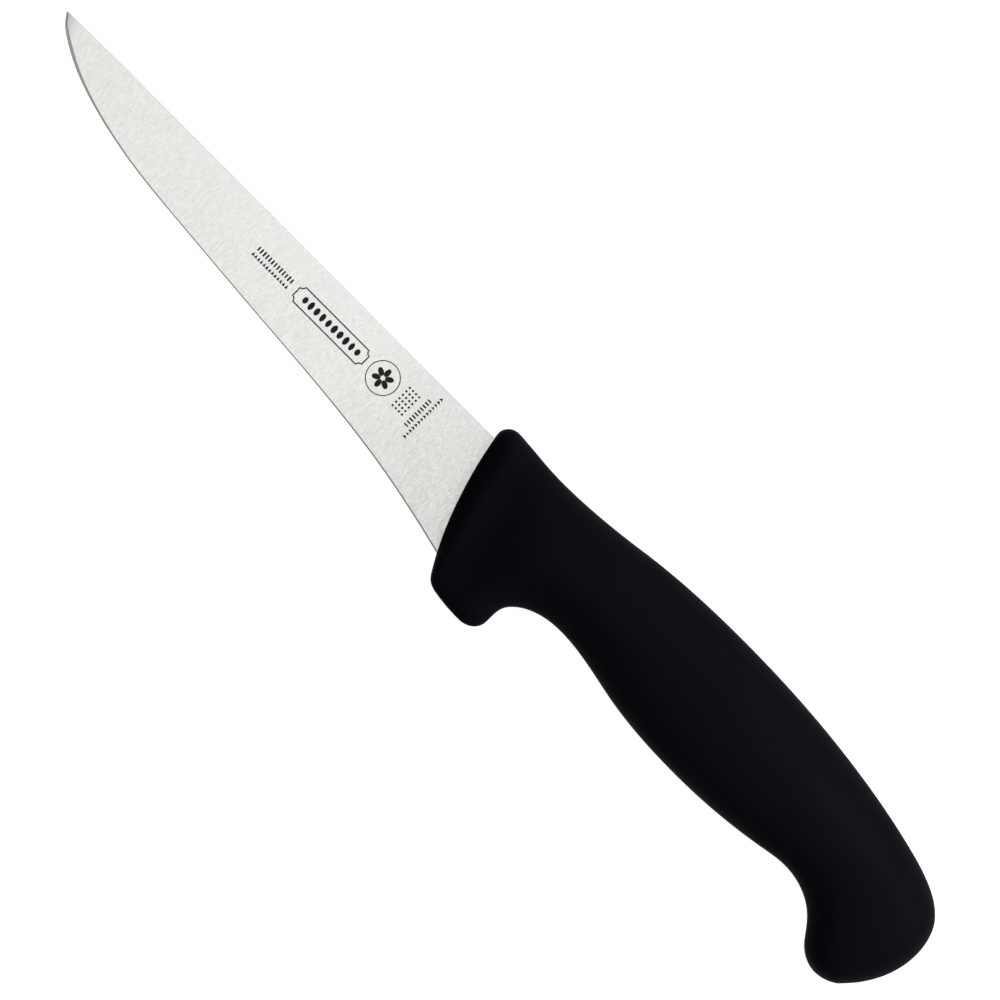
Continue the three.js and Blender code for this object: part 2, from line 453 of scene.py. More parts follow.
class Nodes:
    """Makes and joins the nodes of one material."""

    def __init__(self, name):
        self.material = bpy.data.materials.new(name)
        self.material.use_nodes = True
        self.tree = self.material.node_tree
        self.shader = self.tree.nodes["Principled BSDF"]

    def add(self, kind, inputs=None, **settings):
        """A node of a kind, with its inputs set to values or joined to other nodes' outputs."""
        node = self.tree.nodes.new(kind)
        for key, value in settings.items():
            setattr(node, key, value)
        for key, value in (inputs or {}).items():
            self.put(value, node.inputs[key])
        return node

    def put(self, value, socket):
        """Sets a socket to a value, or joins an output to it."""
        if isinstance(value, bpy.types.NodeSocket):
            self.tree.links.new(value, socket)
        else:
            socket.default_value = value

    def shade(self, **inputs):
        """Sets the shader's inputs, written with underscores for spaces."""
        for key, value in inputs.items():
            self.put(value, self.shader.inputs[key.replace("_", " ")])

    def place(self, scale=(1, 1, 1), rotation=(0, 0, 0)):
        """The piece's own coordinates, stretched and turned."""
        coordinates = self.add("ShaderNodeTexCoord").outputs["Object"]
        mapping = self.add("ShaderNodeMapping", {"Vector": coordinates, "Scale": scale, "Rotation": rotation})
        return mapping.outputs["Vector"]

    def along(self, axis):
        """The piece's own x, y or z."""
        split = self.add("ShaderNodeSeparateXYZ", {"Vector": self.place()})
        return split.outputs[axis]

    def noise(self, vector, detail=2.0, roughness=0.5):
        """The level of a cloudy noise, about 0.5 at the middle."""
        sizes = {"Scale": 1.0, "Detail": detail, "Roughness": roughness}
        return self.add("ShaderNodeTexNoise", {"Vector": vector, **sizes}).outputs["Fac"]

    def spread(self, level, low, high, start=0.3, end=0.7):
        """A level from start to end, brought to low to high."""
        limits = {"From Min": start, "From Max": end, "To Min": low, "To Max": high}
        return self.add("ShaderNodeMapRange", {"Value": level, **limits}).outputs["Result"]

    def sum(self, *terms):
        """Levels times their weights, added up."""
        total = None
        for level, weight in terms:
            inputs = {0: level, 1: weight, 2: total if total is not None else 0.0}
            total = self.add("ShaderNodeMath", inputs, operation="MULTIPLY_ADD").outputs[0]
        return total

    def mix(self, share, first, second):
        """A colour between two."""
        node = self.add("ShaderNodeMix", data_type="RGBA")
        self.put(share, node.inputs["Factor"])
        self.put(first, node.inputs[6])
        self.put(second, node.inputs[7])
        return node.outputs[2]

    def bump(self, height, distance, strength=1.0):
        """A normal tilted by a height field whose full range stands for a distance."""
        inputs = {"Height": height, "Distance": distance, "Strength": strength}
        return self.add("ShaderNodeBump", inputs).outputs["Normal"]


# Between these x the flank goes from a painted shade by the handle to full brightness, and its marks
# from deep to shallow, as the last polishing doesn't reach the handle.
POLISH_AND_SHADE_X = (5 * MM, 38 * MM)
# painted shade: next to the handle the flank's colour is only this share as bright
SHADE_NEAR_HANDLE = 0.88
MARKS_SHARE = (0.6, 0.4)
GRAIN_SHARE = (0.28, 0.48)
SCRATCHES_SHARE = 0.12


def tinted(colour, factor):
    """A colour made lighter or darker, with full cover."""
    return (*(min(1.0, c * factor) for c in colour), 1.0)


def ground_steel(settings):
    """Steel ground from spine to edge: fine straight marks of uneven depth over a fine grain, and a painted
    shade towards the handle.
    """
    n = Nodes("ground_steel")
    pitch = settings.grind_pitch
    marks = n.noise(n.place((1 / pitch, 1 / (9 * pitch), 1 / (9 * pitch))), detail=2.0, roughness=0.6)
    scratches = n.noise(
        n.place((1 / (0.6 * pitch), 1 / (40 * pitch), 1 / (40 * pitch)), (0, 0, math.radians(1.5))),
        detail=2.0,
    )
    grain = n.noise(n.place((1 / (0.85 * pitch),) * 3), detail=2.0, roughness=0.6)
    along = n.along("X")
    marks_share = n.spread(along, *MARKS_SHARE, *POLISH_AND_SHADE_X)
    grain_share = n.spread(along, *GRAIN_SHARE, *POLISH_AND_SHADE_X)
    level = n.sum((marks, marks_share), (scratches, SCRATCHES_SHARE), (grain, grain_share))
    # painted shade: the flank's colour darkens towards the handle, where the handle would shade it
    handle_shade = n.spread(along, SHADE_NEAR_HANDLE, 1.0, *POLISH_AND_SHADE_X)
    dark, bright = tinted(settings.colour, 0.79), tinted(settings.colour, 1.07)
    steel = n.mix(n.spread(level, 0, 1, 0.40, 0.60), dark, bright)
    n.shade(
        Base_Color=n.mix(handle_shade, (0, 0, 0, 1), steel),
        Metallic=1.0,
        Roughness=n.spread(level, 0.40, 0.28),
        Anisotropic=0.55,
        Tangent=n.add("ShaderNodeTangent", direction_type="UV_MAP").outputs[0],
        Normal=n.bump(n.sum((marks, 0.5), (scratches, 0.2), (grain, 0.3)), 0.0015 * MM),
    )
    return n.material


def whetted_steel(settings):
    """The bevel and its edge: finer marks across the edge, on a brighter finish."""
    n = Nodes("whetted_steel")
    pitch = settings.grind_pitch / 2
    marks = n.noise(n.place((1 / pitch, 1 / (12 * pitch), 1 / (12 * pitch))), detail=2.0)
    n.shade(
        Base_Color=n.mix(marks, tinted(settings.colour, 0.86), tinted(settings.colour, 0.98)),
        Metallic=1.0,
        Roughness=n.spread(marks, 0.30, 0.22),
        Normal=n.bump(marks, 0.001 * MM),
    )
    return n.material


def blanked_steel(settings):
    """The spine and the tang: sheet steel as it was blanked, dulled, with marks along its length."""
    n = Nodes("blanked_steel")
    pitch = settings.grind_pitch
    marks = n.noise(n.place((1 / (30 * pitch), 1 / pitch, 1 / (0.6 * pitch))), detail=3.0)
    patches = n.noise(n.place((1 / (20 * pitch),) * 3), detail=2.0)
    level = n.sum((marks, 0.6), (patches, 0.4))
    n.shade(
        Base_Color=n.mix(n.spread(level, 0, 1), tinted(settings.colour, 0.78), tinted(settings.colour, 0.92)),
        Metallic=1.0,
        Roughness=n.spread(level, 0.42, 0.32),
        Normal=n.bump(marks, 0.002 * MM),
    )
    return n.material


def textured_plastic(settings):
    """Near-black polypropylene from a spark-eroded mould: a fine matte grain, rubbed here and there."""
    n = Nodes("textured_plastic")
    grain = settings.grain
    pits = n.noise(n.place((1 / grain,) * 3), detail=3.0, roughness=0.6)
    pores = n.noise(n.place((1 / (0.3 * grain),) * 3), detail=1.0)
    cloud = n.noise(n.place((1 / (45 * grain),) * 3), detail=3.0)
    level = n.sum((pits, 0.6), (pores, 0.4))
    shade = n.spread(n.sum((level, 0.7), (cloud, 0.3)), 0, 1)
    n.shade(
        Base_Color=n.mix(shade, tinted(settings.colour, 0.82), tinted(settings.colour, 1.18)),
        Roughness=n.spread(n.sum((level, 0.5), (cloud, 0.5)), 0.60, 0.48),
        Specular_IOR_Level=0.006,
        Normal=n.bump(level, 0.02 * MM, 0.6),
    )
    return n.material


def etched_oxide(settings):
    """Electrolytic marking: a dark, dull film in the ground surface."""
    n = Nodes("etched_oxide")
    specks = n.noise(n.place((1 / (0.12 * MM),) * 3), detail=2.0)
    marks = n.noise(n.place((1 / (0.2 * MM), 1 / (4 * MM), 1 / MM)), detail=2.0)
    level = n.sum((specks, 0.5), (marks, 0.5))
    n.shade(
        Base_Color=n.mix(n.spread(level, 0, 1), tinted(settings.colour, 0.6), tinted(settings.colour, 2.2)),
        Metallic=0.0,
        Roughness=n.spread(level, 0.62, 0.5),
        Specular_IOR_Level=0.1,
    )
    return n.material


# ---- Blade ----

# The blade's material slots, in the order of its materials.
GROUND, WHETTED, BLANKED = range(3)

SPINE_Y = BLADE_LOW.y
SPINE_DROP = 0.3 * MM  # how far the spine comes down to the tip
SPINE_DROP_FROM = 110 * MM
FLANK_LEAN = math.tan(math.radians(2.4))  # at most, which makes the point thin
BEVEL_SHARE = 0.7  # the most of the blade's height that the bevel takes, where it runs out
# Width of the whetted bevel, in mm, at places along the blade: it widens where the belly curves up.
BEVEL_AT = (-8, 25, 50, 85, 100, 112, 118, 123, 127, 130.3)
BEVEL_WIDTH = (0.32, 0.3, 0.23, 0.23, 0.29, 0.42, 0.58, 0.74, 0.7, 0.36)
EDGE_FLAT = 0.02 * MM
TIP_FLAT = 0.1 * MM
CORNER_STEPS = 5
FLANK_STEPS = 14
BEVEL_STEPS = 3
BLADE_RINGS = 260
CLOSER_TO_TIP = 1.35  # power by which the rings crowd towards the tip

TANG_BACK_X = BLADE_LOW.x
TANG_FRONT_X = -6 * MM
TANG_Y = -4.8 * MM
TANG_HALF_FRONT = 6 * MM
TANG_HALF_BACK = 4.75 * MM
TANG_ROUND = 4 * MM
TANG_HOLES = tuple(x * MM for x in (-24, -50, -76))
TANG_HOLE_RADIUS = 2.5 * MM
TANG_ROUND_STEPS = 8
HOLE_STEPS = 48


def bevel_width(x):
    """Width of the bevel, at a right angle to the edge."""
    return np.interp(x / MM, BEVEL_AT, BEVEL_WIDTH) * MM


def edge_half(settings, x):
    """Half the blade's thickness where the bevel begins."""
    return bevel_width(x) * math.tan(settings.bevel_angle) + EDGE_FLAT / 2


def spine_half(settings, x, height):
    """Half the blade's thickness at the spine; the flank never leans more than FLANK_LEAN."""
    share = np.clip(x / TIP_X, 0, 1)
    tapered = blended(settings.spine_thickness, settings.tip_thickness, share) / 2
    return np.minimum(tapered, edge_half(settings, x) + height * FLANK_LEAN)


def spine_y(x):
    """Where the back of the blade lies: it comes down a little to the tip."""
    return SPINE_Y + SPINE_DROP * np.clip((x - SPINE_DROP_FROM) / (TIP_X - SPINE_DROP_FROM), 0, 1) ** 2


def bevel_drop(x, height, steepness):
    """How far from the edge, across the blade, the bevel begins."""
    return np.minimum(bevel_width(x) / steepness, BEVEL_SHARE * height)


def flank_half(settings, x, y):
    """Half the blade's thickness at a place on its flank."""
    back = spine_y(x)
    height = EDGE.y_at(x) - back
    share = np.interp(x, EDGE.points[::-1, 0], EDGE.shares[::-1])
    steepness = np.abs(EDGE.tangent_at(share)[..., 0])
    across = (y - back) / (height - bevel_drop(x, height, steepness))
    return blended(spine_half(settings, x, height), edge_half(settings, x), across)


def blade_section(settings, share, grow):
    """The closed ring of points of the blade's section at a share of its edge."""
    x, y_edge = EDGE.at(share)
    back = spine_y(x)
    height = y_edge - back
    drop = bevel_drop(x, height, abs(EDGE.tangent_at(share)[0]))
    spine, shoulder = spine_half(settings, x, height) + grow, edge_half(settings, x) + grow
    low, high = back - grow, y_edge + grow
    radius = min(settings.spine_round, 0.25 * height, 0.6 * spine)
    turn = np.linspace(0, math.pi / 2, CORNER_STEPS)
    corner = [(low + radius * (1 - math.cos(a)), spine - radius * (1 - math.sin(a))) for a in turn]
    along = np.linspace(0, 1, FLANK_STEPS + 1)[1:, None]
    flank = blended(np.array(corner[-1]), np.array([y_edge - drop, shoulder]), along)
    down = np.linspace(0, 1, BEVEL_STEPS + 1)[1:, None]
    bevel = blended(flank[-1], np.array([high, EDGE_FLAT / 2 + grow]), down)
    left = [(low, 0.0), *corner, *flank, *bevel, (high, 0.0)]
    right = [(y, -z) for y, z in left[-2:0:-1]]
    return [(x, y, MID_Z + z) for y, z in left + right]


def ground_blank(name, settings, grow=0.0, shares=None, materials=()):
    """The ground part of the blade as a solid, larger all round by grow."""
    if shares is None:
        shares = blended(TIP_FLAT / EDGE.length, 1.0, np.linspace(0, 1, BLADE_RINGS) ** CLOSER_TO_TIP)
    rings = [blade_section(settings, share, grow) for share in shares]
    around = len(rings[0])
    left = [BLANKED] * CORNER_STEPS + [GROUND] * FLANK_STEPS + [WHETTED] * (BEVEL_STEPS + 1)
    ring_slots = left + left[::-1]
    slots = ring_slots * (len(rings) - 1) + [WHETTED, BLANKED]
    faces = ring_faces(len(rings), around)
    return object_from(name, np.vstack(rings), faces, materials, slots if materials else None)


def tang_plate(name, settings, grow=0.0, materials=()):
    """The tang as a solid, larger all round by grow, with a rounded end and holes."""
    half = settings.spine_thickness / 2 + grow
    back, front = TANG_HALF_BACK + grow, TANG_HALF_FRONT + grow
    end = TANG_BACK_X - grow
    turn = np.linspace(0, math.pi / 2, TANG_ROUND_STEPS)
    centre = np.array([end + TANG_ROUND, back - TANG_ROUND])
    upper = [(TANG_FRONT_X, front)]
    upper += [(centre[0] - TANG_ROUND * math.sin(a), centre[1] + TANG_ROUND * math.cos(a)) for a in turn]
    loop = [(x, TANG_Y + y) for x, y in upper] + [(x, TANG_Y - y) for x, y in upper[::-1]]
    plate = prism_from(name, loop, MID_Z - half, MID_Z + half, materials, BLANKED)
    for x in TANG_HOLES:
        combined(plate, round_pin("hole", x, TANG_HOLE_RADIUS - grow, 2 * half, materials), "DIFFERENCE")
    return plate


def round_pin(name, x, radius, half, materials=()):
    """A pin through the tang's middle line, standing across the blade."""
    turn = np.linspace(0, 2 * math.pi, HOLE_STEPS, endpoint=False)
    loop = [(x + radius * math.cos(a), TANG_Y + radius * math.sin(a)) for a in turn]
    return prism_from(name, loop, MID_Z - half, MID_Z + half, materials, BLANKED)


def laid_flat_uv(piece):
    """A UV map that is the piece's own x and y, so that brushed reflections run along the blade."""
    layer = piece.data.uv_layers.new(name="along_blade")
    corners = np.empty(len(piece.data.loops), np.int32)
    piece.data.loops.foreach_get("vertex_index", corners)
    points = np.empty(len(piece.data.vertices) * 3)
    piece.data.vertices.foreach_get("co", points)
    flat = points.reshape(-1, 3)[corners, :2] / (TIP_X * 2)
    layer.data.foreach_set("uv", flat.ravel())


class KNIFE_OT_blade(Operator):
    """Make the blade: flanks, whetted bevel, spine and tang, as one piece of steel"""

    bl_idname = "knife.blade"
    bl_label = "Blade"

    def execute(self, context):
        settings = context.scene.knife_blade
        materials = (ground_steel(settings), whetted_steel(settings), blanked_steel(settings))
        blade = ground_blank("ground_blade", settings, materials=materials)
        combined(blade, tang_plate("tang", settings, materials=materials), "UNION")
        creased(blade, 8)
        laid_flat_uv(blade)
        finished(blade, ("blade",))
        return {"FINISHED"}


# ---- Handle ----

# Half the thickness, and how far in from the outline the sides round over, in mm, at distances
# behind the front as shares of the handle's length.
STATION_AT = (0.0, 0.3, 0.55, 0.8, 1.0)
STATION_HALF = (3.8, 11.2, 12.2, 10.0, 10.4)
STATION_ROUND = (1.6, 13.0, 15.0, 12.5, 9.0)
FRONT_EASE = 2.0

# The soft ridge across each side just behind the blade, and the cove behind it, in mm.
RIDGE_FROM = (1.9, -13.1)
RIDGE_TO = (-2.9, 8.2)
RIDGE_HEIGHT = 0.5
RIDGE_WIDTH = 1.9
COVE_BEHIND = 6.0
COVE_DEPTH = 0.5
COVE_WIDTH = 3.6

# The guard is thinner towards its end: by this share, over these y in mm. This ends between these
# shares of the handle's length.
GUARD_LEAN = 0.4
GUARD_LEAN_Y = (-4, 18)
GUARD_LEAN_AT = (0.2, 0.5)

OUTLINE_STEPS = 160
TINY = 1e-18  # m2, which keeps a point in line with a piece of the outline from dividing by zero
BEAD_STANDS_OUT = 0.04 * MM
BEAD_SIDES = 8
DEPTH_BATCH = 3000  # points whose depth is found at once
ROOM_FROM_X = 12 * MM
ROOM_RINGS = 40


def eased(share, values):
    """A station's value: it leaves the front at a slope, and is level at every other station."""
    at = np.array(STATION_AT)
    later = np.clip(np.searchsorted(at, share), 1, len(at) - 1)
    t = (share - at[later - 1]) / (at[later] - at[later - 1])
    rise = np.where(later == 1, 1 - (1 - t) ** FRONT_EASE, t * t * (3 - 2 * t))
    values = np.array(values) * MM
    return blended(values[later - 1], values[later], rise)


def smooth(value, low, high):
    """Rises smoothly from 0 at low to 1 at high."""
    t = np.clip((value - low) / (high - low), 0, 1)
    return t * t * (3 - 2 * t)


def guard_lean(share, y):
    """What the half thickness is multiplied by, because the guard leans inwards."""
    over_guard = smooth(y / MM, *GUARD_LEAN_Y)
    return 1 - GUARD_LEAN * over_guard * (1 - smooth(share, *GUARD_LEAN_AT))


def handle_outline():
    """The handle's outline as an anticlockwise loop of points."""
    shares = np.linspace(0, 1, OUTLINE_STEPS, endpoint=False)
    return np.vstack([side.at(shares) for side in (FRONT, BELLY, BUTT, BACK)])


def depth_inside(points):
    """How far inside the outline points are.

    Near one side this is the plain distance, and in the middle it levels out without a crease,
    because every piece of the outline counts by the inverse cube of its distance.
    """
    start = handle_outline()
    end = np.roll(start, -1, axis=0)
    along = (end - start) / np.linalg.norm(end - start, axis=1, keepdims=True)
    depths = []
    for batch in np.array_split(points, len(points) // DEPTH_BATCH + 1):
        to_start, to_end = start - batch[:, None], end - batch[:, None]
        before, after = (to_start * along).sum(-1), (to_end * along).sum(-1)
        off = (to_start[..., 0] * along[:, 1] - to_start[..., 1] * along[:, 0]) ** 2 + TINY
        faced = after / np.sqrt(off + after**2) - before / np.sqrt(off + before**2)
        depths.append(np.sqrt(2 / (faced / off).sum(-1)))
    return np.concatenate(depths)


def ridge_height(points):
    """Height that the ridge adds and the cove takes away, just behind the blade."""
    start, end = np.array(RIDGE_FROM) * MM, np.array(RIDGE_TO) * MM
    along = (end - start) / np.linalg.norm(end - start)
    behind = (points - start) @ np.array([-along[1], along[0]]) / MM
    ridge = RIDGE_HEIGHT * np.exp(-((behind / RIDGE_WIDTH) ** 2))
    cove = COVE_DEPTH * np.exp(-(((behind - COVE_BEHIND) / COVE_WIDTH) ** 2))
    return (ridge - cove) * MM


def points_between_sides(u, v):
    """Points at u from the front to the butt and v from the back to the belly."""
    u_, v_ = u[..., None], v[..., None]
    across = blended(BACK.at(1 - u), BELLY.at(u), v_)
    along = blended(FRONT.at(v), BUTT.at(1 - v), u_)
    at_front = blended(FRONT.at(0.0), FRONT.at(1.0), v_)
    at_butt = blended(BUTT.at(1.0), BUTT.at(0.0), v_)
    return across + along - blended(at_front, at_butt, u_)


def handle_outside(name, settings, material):
    """The handle's outside: a sheet of points over each side, joined along the outline."""
    rows, columns = settings.rows_along + 1, settings.rows_across + 1
    shares = [(1 - np.cos(np.linspace(0, math.pi, count))) / 2 for count in (rows, columns)]
    u, v = np.meshgrid(*shares, indexing="ij")
    flat = points_between_sides(u, v).reshape(-1, 2)
    on_outline = np.zeros((rows, columns), bool)
    on_outline[[0, -1], :] = True
    on_outline[:, [0, -1]] = True
    on_outline = on_outline.ravel()
    inner = ~on_outline
    share = u.ravel()[inner]
    short = 1 - np.minimum(depth_inside(flat[inner]) / eased(share, STATION_ROUND), 1)
    fullness = np.sqrt(1 - short**2)
    z = np.zeros(len(flat))
    half = eased(share, STATION_HALF) * guard_lean(share, flat[inner, 1])
    z[inner] = (half + ridge_height(flat[inner])) * fullness
    z *= settings.thickness / 2 / z.max()

    left = np.arange(len(flat))
    right = left.copy()
    right[inner] = len(flat) + np.arange(inner.sum())
    points = np.column_stack([flat, MID_Z + z])
    under = np.column_stack([flat[inner], MID_Z - z[inner]])
    a = (np.arange(rows - 1)[:, None] * columns + np.arange(columns - 1)).ravel()
    quad = np.stack([a, a + 1, a + columns + 1, a + columns], -1)
    faces = np.vstack([left[quad], right[quad][:, ::-1]])
    return object_from(name, np.vstack([points, under]), faces.tolist(), (material,))


def room_for_steel(settings, gap):
    """The tool that cuts the room for the blade's root and the tang."""
    first = float(np.interp(-ROOM_FROM_X, -EDGE.points[:, 0], EDGE.shares))
    root = ground_blank("root_room", settings, gap, np.linspace(first, 1.0, ROOM_RINGS))
    return combined(root, tang_plate("tang_room", settings, gap), "UNION")


def bead_tree(material):
    """Geometry nodes that sweep a small round bead along a curve."""
    tree = bpy.data.node_groups.new("parting_bead", "GeometryNodeTree")
    tree.interface.new_socket("Path", in_out="INPUT", socket_type="NodeSocketGeometry")
    tree.interface.new_socket("Radius", in_out="INPUT", socket_type="NodeSocketFloat")
    tree.interface.new_socket("Bead", in_out="OUTPUT", socket_type="NodeSocketGeometry")
    add, link = tree.nodes.new, tree.links.new
    entry, leave = add("NodeGroupInput"), add("NodeGroupOutput")
    path = add("GeometryNodeMeshToCurve")
    profile = add("GeometryNodeCurvePrimitiveCircle")
    profile.inputs["Resolution"].default_value = BEAD_SIDES
    sweep = add("GeometryNodeCurveToMesh")
    link(entry.outputs["Radius"], profile.inputs["Radius"])
    link(entry.outputs["Path"], path.inputs["Mesh"])
    link(path.outputs["Curve"], sweep.inputs["Curve"])
    link(profile.outputs["Curve"], sweep.inputs["Profile Curve"])
    realised(tree, sweep.outputs["Mesh"], material, leave.inputs["Bead"])
    return tree


def parting_bead(settings, material):
    """The bead that stands a little out of the outline, where the mould opened."""
    loop = handle_outline()
    loop = loop + inwards(loop) * (settings.bead - BEAD_STANDS_OUT)
    mesh = bpy.data.meshes.new("parting_bead")
    count = len(loop)
    edges = [(i, (i + 1) % count) for i in range(count)]
    mesh.from_pydata([(x, y, MID_Z) for x, y in loop], edges, [])
    bead = bpy.data.objects.new("parting_bead", mesh)
    bpy.context.scene.collection.objects.link(bead)
    node_modifier(bead, bead_tree(material), Radius=settings.bead)
    return made_plain(bead)


def node_modifier(piece, tree, **inputs):
    """Adds a geometry nodes modifier and sets its named inputs by their identifiers."""
    step = piece.modifiers.new(tree.name, "NODES")
    step.node_group = tree
    for item in tree.interface.items_tree:
        if item.in_out == "INPUT" and item.name in inputs:
            step[item.identifier] = inputs[item.name]


class KNIFE_OT_handle(Operator):
    """Make the moulded handle, closed tightly round the steel, with its parting line"""

    bl_idname = "knife.handle"
    bl_label = "Handle"

    def execute(self, context):
        settings = context.scene.knife_handle
        blade_settings = context.scene.knife_blade
        plastic = textured_plastic(settings)
        handle = handle_outside("moulded_handle", settings, plastic)
        combined(handle, parting_bead(settings, plastic), "UNION")
        combined(handle, room_for_steel(blade_settings, settings.mouth_gap), "DIFFERENCE")
        creased(without_fins(handle), 50)
        finished(handle, ("handle",))
        return {"FINISHED"}


# ---- Marks ----

# All marks are in mm. u is -x, so it runs towards the butt, and v runs from the marks' centre line
# towards the spine. A row has its first shape at x and v, how many there are, the step in u and v
# from one to the next, their corners, and their width and height.
ROWS = (
    # two rows of fine code strokes
    {"at": (67.7, 0.75), "count": 13, "step": (0.79, 0), "corners": 4, "size": (0.42, 1.25)},
    {"at": (67.8, -0.9), "count": 13, "step": (0.8, 0), "corners": 3, "size": (0.85, 1.35)},
    # the plaque's row of ovals
    {"at": (53.5, 0.0), "count": 10, "step": (1.68, 0), "corners": 40, "size": (1.2, 2.0)},
    # two rows of strokes across the blade, next to the handle
    {"at": (20.8, -3.4), "count": 10, "step": (0, 0.76), "corners": 4, "size": (1.15, 0.42)},
    {"at": (19.3, -5.3), "count": 14, "step": (0, 0.82), "corners": 3, "size": (1.2, 0.85)},
)
ROW_UNEVEN = (0.8, 0.75)  # the least width and height of a shape in a row, as shares of its size

# The plaque's centre is in u and v, and the ring's is at x on the centre line.
PLAQUE = {"centre": (-46.1, 0.0), "width": 20.3, "height": 4.2, "radius": 0.9}
RING_AT = 30.96
RING_RADIUS = 3.7
RING_LINE = 0.75  # share of the usual line width
RING_STEPS = 96
ROSETTE = {"count": 6, "step": (0, 0), "corners": 40, "size": (1.2, 1.9), "reach": (0, 1.4), "turn_step": 60}

# A block of square dots.
BLOCK_AT = (25.6, -2.5)
BLOCK_COLUMNS = 4
BLOCK_PITCH = 0.9
BLOCK_DOTS = {"count": 6, "step": (0, 1), "corners": 4, "size": (0.45, 0.45)}


def row_tree(material):
    """Geometry nodes that lay a row, or a rosette, of flat shapes with uneven sizes."""
    tree = bpy.data.node_groups.new("mark_row", "GeometryNodeTree")
    for name, kind in (
        ("Count", "Int"),
        ("Corners", "Int"),
        ("Start", "Vector"),
        ("Step", "Vector"),
        ("Size", "Vector"),
        ("Reach", "Vector"),
        ("Corner Turn", "Vector"),
        ("Turn Step", "Float"),
        ("Smallest", "Vector"),
        ("Seed", "Int"),
    ):
        tree.interface.new_socket(name, in_out="INPUT", socket_type=f"NodeSocket{kind}")
    tree.interface.new_socket("Marks", in_out="OUTPUT", socket_type="NodeSocketGeometry")
    add, link = tree.nodes.new, tree.links.new
    entry, leave = add("NodeGroupInput"), add("NodeGroupOutput")
    line = add("GeometryNodeMeshLine")
    line.mode = "OFFSET"
    shape = add("GeometryNodeMeshCircle")
    shape.fill_type = "NGON"
    shape.inputs["Radius"].default_value = 0.5
    turned, sized = add("GeometryNodeTransform"), add("GeometryNodeTransform")
    index, angle = add("GeometryNodeInputIndex"), add("ShaderNodeMath")
    angle.operation = "MULTIPLY"
    around, uneven = add("ShaderNodeCombineXYZ"), add("FunctionNodeRandomValue")
    uneven.data_type = "FLOAT_VECTOR"
    place = add("GeometryNodeInstanceOnPoints")
    link(entry.outputs["Count"], line.inputs["Count"])
    link(entry.outputs["Start"], line.inputs["Start Location"])
    link(entry.outputs["Step"], line.inputs["Offset"])
    link(entry.outputs["Corners"], shape.inputs["Vertices"])
    link(shape.outputs["Mesh"], turned.inputs["Geometry"])
    link(entry.outputs["Corner Turn"], turned.inputs["Rotation"])
    link(turned.outputs["Geometry"], sized.inputs["Geometry"])
    link(entry.outputs["Size"], sized.inputs["Scale"])
    link(entry.outputs["Reach"], sized.inputs["Translation"])
    link(index.outputs["Index"], angle.inputs[0])
    link(entry.outputs["Turn Step"], angle.inputs[1])
    link(angle.outputs["Value"], around.inputs["Z"])
    link(entry.outputs["Smallest"], uneven.inputs["Min"])
    uneven.inputs["Max"].default_value = (1, 1, 1)
    link(entry.outputs["Seed"], uneven.inputs["Seed"])
    link(line.outputs["Mesh"], place.inputs["Points"])
    link(sized.outputs["Geometry"], place.inputs["Instance"])
    link(around.outputs["Vector"], place.inputs["Rotation"])
    link(uneven.outputs["Value"], place.inputs["Scale"])
    realised(tree, place.outputs["Instances"], material, leave.inputs["Marks"])
    return tree


class FlatMarks:
    """Gathers flat shapes in u and v, and lays them on the blade's left flank as thin slabs."""

    SUNK = 0.03 * MM

    def __init__(self, blade_settings, settings, material):
        self.blade_settings, self.settings, self.material = blade_settings, settings, material
        self.points, self.faces = [], []
        self.tree = row_tree(material)

    def add(self, points, faces):
        """Takes points (u, v) in metres and faces over them."""
        base = len(self.points)
        self.points += [tuple(p) for p in points]
        self.faces += [[base + i for i in face] for face in faces]

    def row(self, at, count, step, corners, size, reach=(0, 0), turn_step=0.0, smallest=(1, 1), seed=0):
        """A row or rosette of shapes with a number of corners, the first at x and v."""
        holder = bpy.data.objects.new("row", bpy.data.meshes.new("row"))
        bpy.context.scene.collection.objects.link(holder)
        # four corners are turned to lie as a rectangle, and stretched to its full width and height
        squared = math.pi / 4 if corners == 4 else math.pi / 2
        stretch = math.sqrt(2) if corners == 4 else 1.0
        node_modifier(
            holder,
            self.tree,
            Count=count,
            Corners=corners,
            Start=(-at[0] * MM, at[1] * MM, 0.0),
            Step=(step[0] * MM, step[1] * MM, 0.0),
            Size=(size[0] * MM * stretch, size[1] * MM * stretch, 1.0),
            Reach=(reach[0] * MM, reach[1] * MM, 0.0),
            **{"Corner Turn": (0.0, 0.0, squared), "Turn Step": math.radians(turn_step)},
            Smallest=(*smallest, 1.0),
            Seed=seed,
        )
        made_plain(holder)
        mesh = holder.data
        self.add([v.co.xy for v in mesh.vertices], [list(p.vertices) for p in mesh.polygons])
        bpy.data.objects.remove(holder)

    def band(self, loop, width):
        """A closed line of a width, drawn inwards from an anticlockwise loop of (u, v)."""
        loop = np.array(loop)
        inner = loop + inwards(loop) * width
        n = len(loop)
        faces = [[i, (i + 1) % n, n + (i + 1) % n, n + i] for i in range(n)]
        self.add(np.vstack([loop, inner]), faces)

    def laid(self, name):
        """The slabs, as one closed mesh that follows the flank."""
        flat = np.array(self.points)
        x, y = -flat[:, 0], self.settings.axis_y - flat[:, 1]
        half = flank_half(self.blade_settings, x, y)
        top = np.column_stack([x, y, MID_Z + half + self.settings.proud])
        under = np.column_stack([x, y, MID_Z + half - self.SUNK])
        count = len(flat)
        # u and v are both reversed against x and y, which keeps the faces' turn
        faces = self.faces + [[i + count for i in face[::-1]] for face in self.faces]
        seen = {(a, b) for face in self.faces for a, b in zip(face, face[1:] + face[:1])}
        faces += [[b, a, a + count, b + count] for a, b in seen if (b, a) not in seen]
        piece = object_from(name, np.vstack([top, under]), faces, (self.material,))
        return creased(piece, 30)


SCOOP_STEPS = 6
LONGEST_STEP = 1.5 * MM


